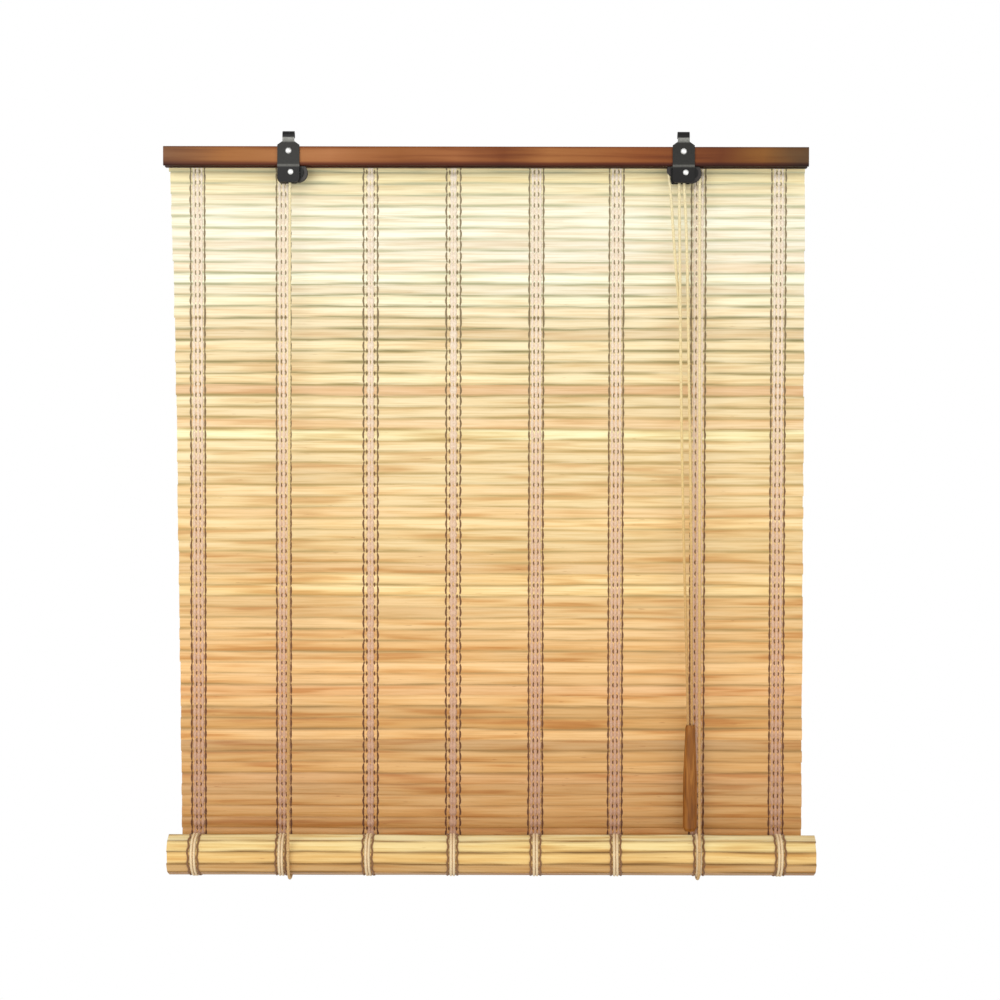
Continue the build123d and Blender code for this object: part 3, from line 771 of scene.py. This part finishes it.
# Operators, one for each piece or group of like pieces
class BLIND_OT_dress_rail(bpy.types.Operator):
    """Stains the headrail"""
    bl_idname = "blind.dress_rail"
    bl_label = "Headrail"

    def execute(self, context):
        dress_node("headrail", stained_wood())
        return {"FINISHED"}


class BLIND_OT_dress_hardware(bpy.types.Operator):
    """Paints the hook plates and cheeks, plates the fasteners, colours the wheels"""
    bl_idname = "blind.dress_hardware"
    bl_label = "Hooks and wheels"

    def execute(self, context):
        finishes = {
            "black_steel": blacked_steel(),
            "bright_steel": zinc_plate(),
            "brown_plastic": wheel_plastic(),
        }
        for row in frame["record"]["subparts"]:
            if row["material_slot"] in finishes:
                dress_node(row["node"], finishes[row["material_slot"]])
        return {"FINISHED"}


class BLIND_OT_hang_slats(bpy.types.Operator):
    """Lays the slats of the hanging mat, those that stay and those that wind up"""
    bl_idname = "blind.hang_slats"
    bl_label = "Slats"

    def execute(self, context):
        slats = context.scene.blind_slats
        draw = random.Random(slats.seed)
        bamboo = split_bamboo()
        template = slat_template(SLAT_CUTS, MAT_CROWN_CUTS)
        strengths = joint_strengths(slats, random.Random(slats.seed + 3))
        for part, first, last in (("upper", 0, slats.upper), ("lower", slats.upper, slats.count)):
            name = f"{part}_slats"
            bm = bmesh.new()
            for number in range(first, last):
                row = (number + 0.5) / slats.count
                left = MAT_LEFT + MAT_INSET * row**INSET_CURVE + draw.uniform(0, slats.end_play)
                right = mat_high.x - draw.uniform(0, slats.end_play)
                tint = slat_tint(slats, row, draw)
                joint = joint_shade_tint(slats, row)
                edges = (strengths[number + 1], strengths[number])
                add_slat(bm, template, slats, mat_place(number), left, right, tint, joint, edges, draw, row)
            piece = new_object(name, slat_mesh(name, bm), [bamboo])
            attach(piece, "headrail_frame")
            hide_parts("slat_mat")
            if part == "lower":
                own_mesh(piece)
        template.free()
        return {"FINISHED"}


class BLIND_OT_weave_bands(bpy.types.Operator):
    """Weaves the eight columns of warp yarn"""
    bl_idname = "blind.weave_bands"
    bl_label = "Warp bands"

    def execute(self, context):
        slats = context.scene.blind_slats
        yarn = context.scene.blind_yarn
        # The yarn colours darken down the mat as painted shade
        pale = cotton_yarn("pale_cotton_yarn", [
            (0.0, "FCF2E0"), (0.3, "FAE8D2"), (0.5, "EED0B4"), (0.75, "DEB69A"), (1.0, "C49C84")])
        dark = cotton_yarn("brown_cotton_yarn", [
            (0.0, "988C70"), (0.3, "8A7858"), (0.5, "806044"), (0.75, "765038"), (1.0, "664230")])
        draw = random.Random(slats.seed + 1)
        for number, x in enumerate(columns, 1):
            narrow = number in NARROW_COLUMNS
            for part, first, last in (("upper", 0, slats.upper), ("lower", slats.upper, slats.count)):
                name = f"warp_yarn_{number}_{part}"
                bm = column_yarns(x, narrow, first, last, yarn, draw)
                piece = new_object(name, yarn_mesh(name, bm, mat_row), [pale, dark])
                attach(piece, "headrail_frame")
                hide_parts(f"warp_band_{number}")
                if part == "lower":
                    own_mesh(piece)
        return {"FINISHED"}


class BLIND_OT_wind_roll(bpy.types.Operator):
    """Winds the bottom roll: slats, warp yarn over its outer turn, and the core"""
    bl_idname = "blind.wind_roll"
    bl_label = "Bottom roll"
    FIRST_ROW = 0.55
    # Strengths of the painted shade lines between the wound slats
    JOINT_STRENGTHS = (0.92, 0.92)

    def execute(self, context):
        slats = context.scene.blind_slats
        draw = random.Random(slats.seed + 2)
        template = slat_template(SLAT_CUTS, ROLL_CROWN_CUTS)
        bm = bmesh.new()
        places = roll_slats(slats.thickness)
        # Tints of the wound slats as they lie round the roll, from the back down, forward and over the top:
        # painted light and shade, palest over the top and darkest underneath
        round_light_tints = [(0.0, linear("DDB274")), (0.25, linear("BD8F61")), (0.40, linear("DBB074")),
                       (0.50, linear("F4D28C")), (0.60, linear("FFE8A6")), (0.72, linear("FFF6C8")),
                       (1.0, linear("F4D092"))]
        for number, (angle, radius) in enumerate(places):
            left = roll_low.x + draw.uniform(0, slats.end_play)
            right = roll_high.x - draw.uniform(0, slats.end_play)
            level = draw.gauss(1.0, 0.04)
            tint = [c * level for c in blend_stops(round_light_tints, angle / math.tau % 1)]
            row = self.FIRST_ROW + number / 100
            add_slat(bm, template, slats, roll_place(angle, radius), left, right, tint, slats.roll_joint,
                     self.JOINT_STRENGTHS, draw, row)
        template.free()
        bamboo = bpy.data.materials["varnished_bamboo"]
        piece = new_object("wound_slats", slat_mesh("wound_slats", bm), [bamboo])
        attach(piece, "bottom_roll")
        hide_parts("rolled_turns")
        pale = cotton_yarn("pale_roll_yarn", [(0.0, "F6E0B6"), (1.0, "EDD2AA")])
        dark = cotton_yarn("brown_roll_yarn", [(0.0, "96704E"), (1.0, "86603E")])
        bm = bmesh.new()
        outer = [place for place in places if place[0] < math.tau]
        for x in columns:
            drift = draw.uniform(-ROLL_YARN_DRIFT, ROLL_YARN_DRIFT)
            for offset, radius, index in ROLL_YARNS:
                # The dark yarns spread at the joints
                flare = math.copysign(ROLL_YARN_FLARE, offset) if index == DARK else 0.0
                points = []
                for (angle, reach), (after, _) in zip(outer, outer[1:]):
                    place = x + offset + drift * math.cos(angle)
                    points.append(roll_point(place, angle, reach + ROLL_YARN_RISE))
                    corner = math.cos((after - angle) / 2)
                    points.append(roll_point(place + flare, (angle + after) / 2, reach / corner))
                add_yarn(bm, points, None, radius, index)
        mesh = yarn_mesh("roll_yarn", bm, lambda place: 0.5)
        piece = new_object("roll_yarn", mesh, [pale, dark])
        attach(piece, "bottom_roll")
        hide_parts("roll_warp_bands")
        # The core rod lies across, so its grain is short in height
        grain_length, grain_width = 0.002, 0.05
        stops = [(0.3, "B89058"), (0.7, "DAB780")]
        dress_node("roll_core", turned_wood("bare_core_wood", stops, grain_length, grain_width))
        return {"FINISHED"}


class BLIND_OT_run_cords(bpy.types.Operator):
    """Runs the lift cords over the wheels and under the roll, and hangs the pull cords"""
    bl_idname = "blind.run_cords"
    bl_label = "Cords"

    def execute(self, context):
        cords = context.scene.blind_cords
        # The cord is one colour; its stops darken it down the blind as painted shade, and the last stop, at the
        # roll, is lighter again
        cotton = cotton_yarn("cotton_cord", [
            (0.0, "FAF0C6"), (0.3, "F8E4AE"), (0.45, "F2D696"), (0.6, "E6C080"), (0.75, "D6AA6E"),
            (0.92, "C4965E"), (1.0, "DEB880")])
        for side, x in (("left", LEFT_CORD_X), ("right", RIGHT_CORD_X)):
            front = [(x, CORD_Y, WHEEL_EXIT_Z), (x, FRONT_CORD_Y, CORD_JOIN_Z)]
            self.taut_run(f"{side}_front_cord", *front, cords, cotton)
            back = [(x, BACK_CORD_Y, STAPLE_Z), (x, BACK_CORD_Y, CORD_JOIN_Z)]
            self.taut_run(f"{side}_back_cord", *back, cords, cotton)
            bight = [(x, FRONT_CORD_Y, BIGHT_TOP_Z), (x, FRONT_CORD_Y, BIGHT_FLOOR_Z),
                     (x, BACK_CORD_Y, BIGHT_FLOOR_Z), (x, BACK_CORD_Y, BIGHT_TOP_Z)]
            self.held_run(f"{side}_cord_bight", bight, "cord_sling", cords, cotton)
        cross = [(LEFT_CORD_X, CORD_Y, -0.0355), (LEFT_CORD_X, CORD_Y, GROOVE_Z),
                 (LEFT_CORD_X + GROOVE_BEND, CORD_Y, GROOVE_TOP_Z),
                 (LEFT_PULL_X - GROOVE_BEND, CORD_Y, GROOVE_TOP_Z),
                 (LEFT_PULL_X, CORD_Y, GROOVE_Z), (LEFT_PULL_X, CORD_Y, -0.0330)]
        self.held_run("cross_cord", cross, "headrail_frame", cords, cotton)
        turn = [(RIGHT_CORD_X, CORD_Y, -0.0340), (RIGHT_CORD_X, CORD_Y, GROOVE_Z),
                (RIGHT_PULL_X, CORD_Y, GROOVE_Z), (RIGHT_PULL_X, CORD_Y, -0.0340)]
        self.held_run("right_cord_turn", turn, "headrail_frame", cords, cotton)
        left = [(LEFT_PULL_X, CORD_Y, -0.0334), (0.1806, CORD_Y, -0.080), (0.1820, CORD_Y, -0.200),
                (0.1845, CORD_Y - 0.001, -0.340), (0.1885, CORD_Y, -0.470), (0.1909, CORD_Y, PULL_TOP_Z)]
        right = [(RIGHT_PULL_X, CORD_Y, WHEEL_EXIT_Z), (0.1872, CORD_Y, -0.080), (0.1895, CORD_Y, -0.200),
                 (0.1925, CORD_Y + 0.001, -0.340), (0.1935, CORD_Y, -0.470), (0.1941, CORD_Y, PULL_TOP_Z)]
        self.hung_run("left_pull_cord", left, cords, cotton)
        self.hung_run("right_pull_cord", right, cords, cotton)
        loose = [(0.1702, CORD_Y, -0.0330), (0.1722, CORD_Y, -0.050), (0.1752, CORD_Y + 0.001, -0.095),
                 (0.1790, CORD_Y + 0.003, -0.140), (0.1814, CORD_Y + 0.003, -0.165)]
        self.tied_run("loose_strand", loose, left, cords, cotton)
        return {"FINISHED"}

    def held_run(self, node, points, body, cords, material):
        """Run that keeps its shape and moves with a body."""
        piece = twisted_cord(f"twisted_{node}", points, cords.lay, material)
        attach(piece, body)
        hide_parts(node)
        return piece

    def lift_share(self, points):
        """Share of a run's height that is left when the roll is up."""
        reach = points[0][2] - points[-1][2]
        return (reach - LIFT) / reach

    def squashed_run(self, node, points, cords, material):
        """Run that hangs from the headrail frame, with a mesh of its own."""
        piece = self.held_run(node, points, "headrail_frame", cords, material)
        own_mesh(piece)
        return piece

    def taut_run(self, node, start, end, cords, material):
        """Straight lift cord between the rail and the roll."""
        middle = [(a + b) / 2 for a, b in zip(start, end)]
        points = [start, middle, end]
        piece = self.squashed_run(node, points, cords, material)
        route_points(points)

    def hung_run(self, node, points, cords, material):
        """Pull cord that hangs from the bracket and ends in the pull."""
        piece = self.squashed_run(node, points, cords, material)
        path = route_points(points)

    def tied_run(self, name, points, carrier, cords, material):
        """Short strand tied to the back of a pull cord, which it follows."""
        piece = twisted_cord(name, points, cords.lay, material)
        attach(piece, "headrail_frame")
        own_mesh(piece)
        path = route_points(points)


class BLIND_OT_dress_pull(bpy.types.Operator):
    """Stains the turned cord pull"""
    bl_idname = "blind.dress_pull"
    bl_label = "Cord pull"

    def execute(self, context):
        grain_length, grain_width = 0.03, 0.003
        stops = [(0.25, "6A3C14"), (0.5, "90581E"), (0.75, "AE7230")]
        dress_node("cord_pull", turned_wood("stained_turned_wood", stops, grain_length, grain_width))
        return {"FINISHED"}


class BLIND_OT_set_stage(bpy.types.Operator):
    """Sets the pale floor, the light and the camera"""
    bl_idname = "blind.set_stage"
    bl_label = "Stage"
    WHITE = (1.0, 1.0, 1.0, 1.0)
    FLOOR_PAINT = (0.9, 0.9, 0.9, 1.0)
    FLOOR_REACH = 6.0
    FLOOR_DROP = 0.35
    FLOOR_NEAR = 1.1
    FLOOR_FAR = 1.35
    SKY_LIGHT = 0.54
    LAMP_AIM = Vector((0, 0, -0.34))

    def execute(self, context):
        scene = context.scene
        scene.view_settings.view_transform = "Standard"
        self.pale_floor()
        self.white_world(scene)
        self.lamp(scene, "key_light", place=(-0.9, -1.8, 0.1), size=1.4, power=20.0)
        self.lamp(scene, "fill_light", place=(1.2, -1.6, -0.2), size=1.6, power=8.5)
        self.camera(scene)
        return {"FINISHED"}

    def background_rays(self, tree):
        """Socket that is one for the rays that see the white background."""
        rays = add_node(tree, "LightPath")
        mirrored = add_node(tree, "Math", {"operation": "MAXIMUM"}, {
            0: rays.outputs["Is Glossy Ray"], 1: rays.outputs["Is Transmission Ray"]})
        seen = add_node(tree, "Math", {"operation": "MAXIMUM"}, {
            0: rays.outputs["Is Camera Ray"], 1: mirrored.outputs[0]})
        return seen.outputs[0]

    def pale_floor(self):
        bm = bmesh.new()
        bmesh.ops.create_grid(bm, x_segments=1, y_segments=1, size=self.FLOOR_REACH,
                              matrix=Matrix.Translation((0, 0, cad_low.z - self.FLOOR_DROP)))
        mesh = bpy.data.meshes.new("floor")
        bm.to_mesh(mesh)
        bm.free()
        made, tree = new_material("pale_floor")
        place = add_node(tree, "TexCoord")
        away = add_node(tree, "VectorMath", {"operation": "LENGTH"}, {0: place.outputs["Object"]})
        # Near the blind the floor is plain paint, so that it keeps the blind's shadow
        far = add_node(tree, "MapRange", {"interpolation_type": "SMOOTHSTEP"}, {
            "Value": away.outputs["Value"], "From Min": self.FLOOR_NEAR, "From Max": self.FLOOR_FAR})
        white = add_node(tree, "Math", {"operation": "MULTIPLY"}, {
            0: self.background_rays(tree), 1: far.outputs[0]})
        paint = add_node(tree, "BsdfDiffuse", inputs={"Color": self.FLOOR_PAINT})
        glow = add_node(tree, "Emission", inputs={"Color": self.WHITE, "Strength": 1.0})
        mixed = add_node(tree, "MixShader", inputs={
            0: white.outputs[0], 1: paint.outputs[0], 2: glow.outputs[0]})
        finish_material(tree, mixed)
        new_object("floor", mesh, [made])

    def white_world(self, scene):
        world = bpy.data.worlds.new("studio")
        scene.world = world
        world.use_nodes = True
        tree = world.node_tree
        tree.nodes.clear()
        strength = add_node(tree, "MapRange", inputs={
            "Value": self.background_rays(tree), "To Min": self.SKY_LIGHT, "To Max": 1.0})
        sky = add_node(tree, "Background", inputs={"Color": self.WHITE, "Strength": strength.outputs[0]})
        add_node(tree, "OutputWorld", inputs={"Surface": sky.outputs[0]})

    def lamp(self, scene, name, place, size, power):
        light = bpy.data.lights.new(name, "AREA")
        light.size = size
        light.energy = power
        made = bpy.data.objects.new(name, light)
        made.location = place
        made.rotation_euler = (self.LAMP_AIM - Vector(place)).to_track_quat("-Z", "Y").to_euler()
        scene.collection.objects.link(made)

    def camera(self, scene):
        stage = scene.blind_stage
        data = bpy.data.cameras.new("photo_camera")
        data.lens = stage.lens
        made = bpy.data.objects.new("photo_camera", data)
        aim = Vector((stage.aim_x, 0.0, stage.aim_z))
        back = Vector((0.0, -math.cos(stage.pitch), math.sin(stage.pitch)))
        made.location = aim + back * stage.distance
        turn = (-back).to_track_quat("-Z", "Y").to_matrix() @ Matrix.Rotation(stage.tilt, 3, "Z")
        made.rotation_euler = turn.to_euler()
        scene.collection.objects.link(made)
        scene.camera = made


class BLIND_PT_pieces(bpy.types.Panel):
    """Sizes and colours of the blind, and its pieces in the order they are made"""
    bl_idname = "BLIND_PT_pieces"
    bl_label = "Bamboo roller blind"
    bl_space_type = "VIEW_3D"
    bl_region_type = "UI"
    bl_category = "Blind"

    def draw(self, context):
        for group in ("blind_slats", "blind_yarn", "blind_cords", "blind_stage"):
            box = self.layout.box()
            settings = getattr(context.scene, group)
            for name in settings.bl_rna.properties.keys():
                if name not in ("rna_type", "name"):
                    box.prop(settings, name)
        for operator in OPERATORS:
            self.layout.operator(operator.bl_idname)


SETTINGS = {
    "blind_slats": SlatSettings,
    "blind_yarn": YarnSettings,
    "blind_cords": CordSettings,
    "blind_stage": StageSettings,
}
OPERATORS = (
    BLIND_OT_dress_rail,
    BLIND_OT_dress_hardware,
    BLIND_OT_hang_slats,
    BLIND_OT_weave_bands,
    BLIND_OT_wind_roll,
    BLIND_OT_run_cords,
    BLIND_OT_dress_pull,
    BLIND_OT_set_stage,
)


def register():
    for made in (*SETTINGS.values(), *OPERATORS, BLIND_PT_pieces):
        bpy.utils.register_class(made)
    for name, group in SETTINGS.items():
        setattr(bpy.types.Scene, name, PointerProperty(type=group))


def unregister():
    for name in SETTINGS:
        delattr(bpy.types.Scene, name)
    for made in reversed((*SETTINGS.values(), *OPERATORS, BLIND_PT_pieces)):
        bpy.utils.unregister_class(made)


def main():
    register()
    bpy.ops.blind.dress_rail()
    bpy.ops.blind.dress_hardware()
    bpy.ops.blind.hang_slats()
    bpy.ops.blind.weave_bands()
    bpy.ops.blind.wind_roll()
    bpy.ops.blind.run_cords()
    bpy.ops.blind.dress_pull()
    bpy.ops.blind.set_stage()


if __name__ == "__main__":
    main()
